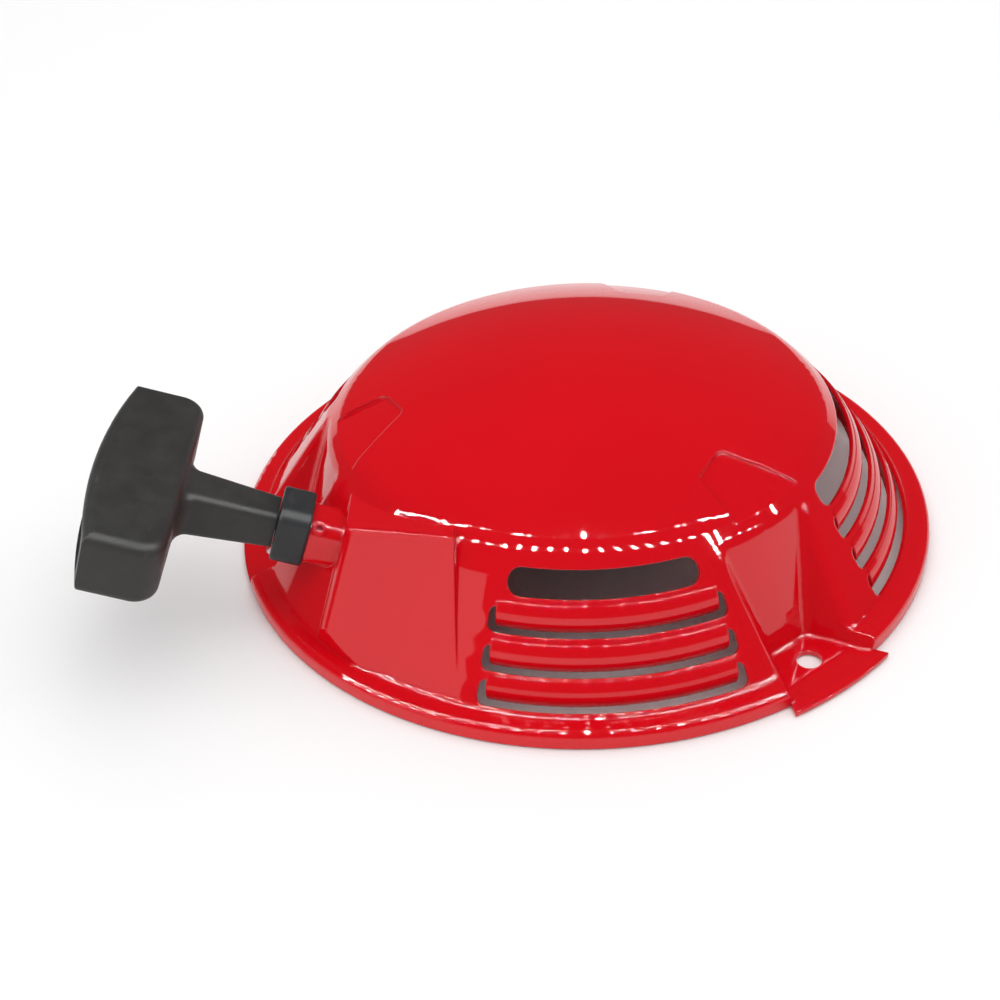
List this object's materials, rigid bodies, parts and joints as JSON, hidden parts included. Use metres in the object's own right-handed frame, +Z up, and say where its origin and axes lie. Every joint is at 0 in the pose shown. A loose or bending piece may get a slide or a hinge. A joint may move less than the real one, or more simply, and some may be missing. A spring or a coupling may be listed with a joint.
{
  "type": "recoil starter",
  "caption": "Pull-rope starter for a small engine: pressed-steel bell with louvred vents, foot tabs, angled rope guide and T-grip; sprung rope reel and ratchets inside.",
  "frame": {"origin": "centre of the three mounting holes, on the underside of the foot tabs", "axes": "+Z up along the crank axis, away from the engine; the rope leaves towards -X, rising 18 degrees; -Y is the side the rope leaves on"},
  "size_m": [0.2393, 0.208, 0.056],
  "materials": {
    "red_paint": "gloss",
    "black_moulding": "satin",
    "grip_moulding": "satin",
    "reel_moulding": "satin",
    "zinc_steel": "satin",
    "spring_steel": "satin",
    "ratchet_steel": "satin",
    "bush_bronze": "satin",
    "rope_fibre": "matte"
  },
  "bodies": {
    "case": {"case_shell": "red_paint", "rope_guide": "black_moulding", "guide_rivet": "red_paint", "centre_post": "zinc_steel", "centre_screw": "zinc_steel", "thrust_washer": "zinc_steel", "friction_spring": "spring_steel", "recoil_spring": "spring_steel", "rope_run": "rope_fibre"},
    "reel": {"reel": "reel_moulding", "reel_bush": "bush_bronze", "rope_coil": "rope_fibre", "reel_knot": "rope_fibre", "ratchet_spring_a": "spring_steel", "ratchet_spring_b": "spring_steel"},
    "guide": {"ratchet_guide": "zinc_steel"},
    "ratchet_a": {"ratchet_a": "ratchet_steel"},
    "ratchet_b": {"ratchet_b": "ratchet_steel"},
    "grip": {"grip": "grip_moulding", "rope_tail": "rope_fibre", "grip_knot": "rope_fibre", "knot_washer": "zinc_steel"}
  },
  "joints": [
    {"name": "grip_pull", "type": "slide", "parent": "case", "child": "grip", "axis": [-0.9511, 0, 0.309], "range_m": [0, 0.7], "stiffness_N_per_m": 17, "springref_m": -0.47},
    {"name": "reel_spin", "type": "hinge", "parent": "case", "child": "reel", "pos_m": [0, 0, 0.027], "axis": [0, 0, -1], "range_deg": [0, 1003], "deforming": ["recoil_spring"]},
    {"name": "guide_turn", "type": "hinge", "parent": "reel", "child": "guide", "pos_m": [0, 0, 0.013], "axis": [0, 0, 1], "range_deg": [0, 24], "stiffness_Nm_per_rad": 0.01, "springref_deg": -17.19},
    {"name": "ratchet_a_swing", "type": "hinge", "parent": "reel", "child": "ratchet_a", "pos_m": [0.00875, 0.01516, 0.0175], "axis": [0, 0, 1], "range_deg": [0, 26.1]},
    {"name": "ratchet_b_swing", "type": "hinge", "parent": "reel", "child": "ratchet_b", "pos_m": [-0.00875, -0.01516, 0.0175], "axis": [0, 0, 1], "range_deg": [0, 26.1]}
  ],
  "couplings": [
    {"joint": "reel_spin", "follows": "grip_pull", "rad_per_m": 25},
    {"joint": "ratchet_a_swing", "follows": "guide_turn", "ratio": 1.0833},
    {"joint": "ratchet_b_swing", "follows": "guide_turn", "ratio": 1.0833}
  ]
}
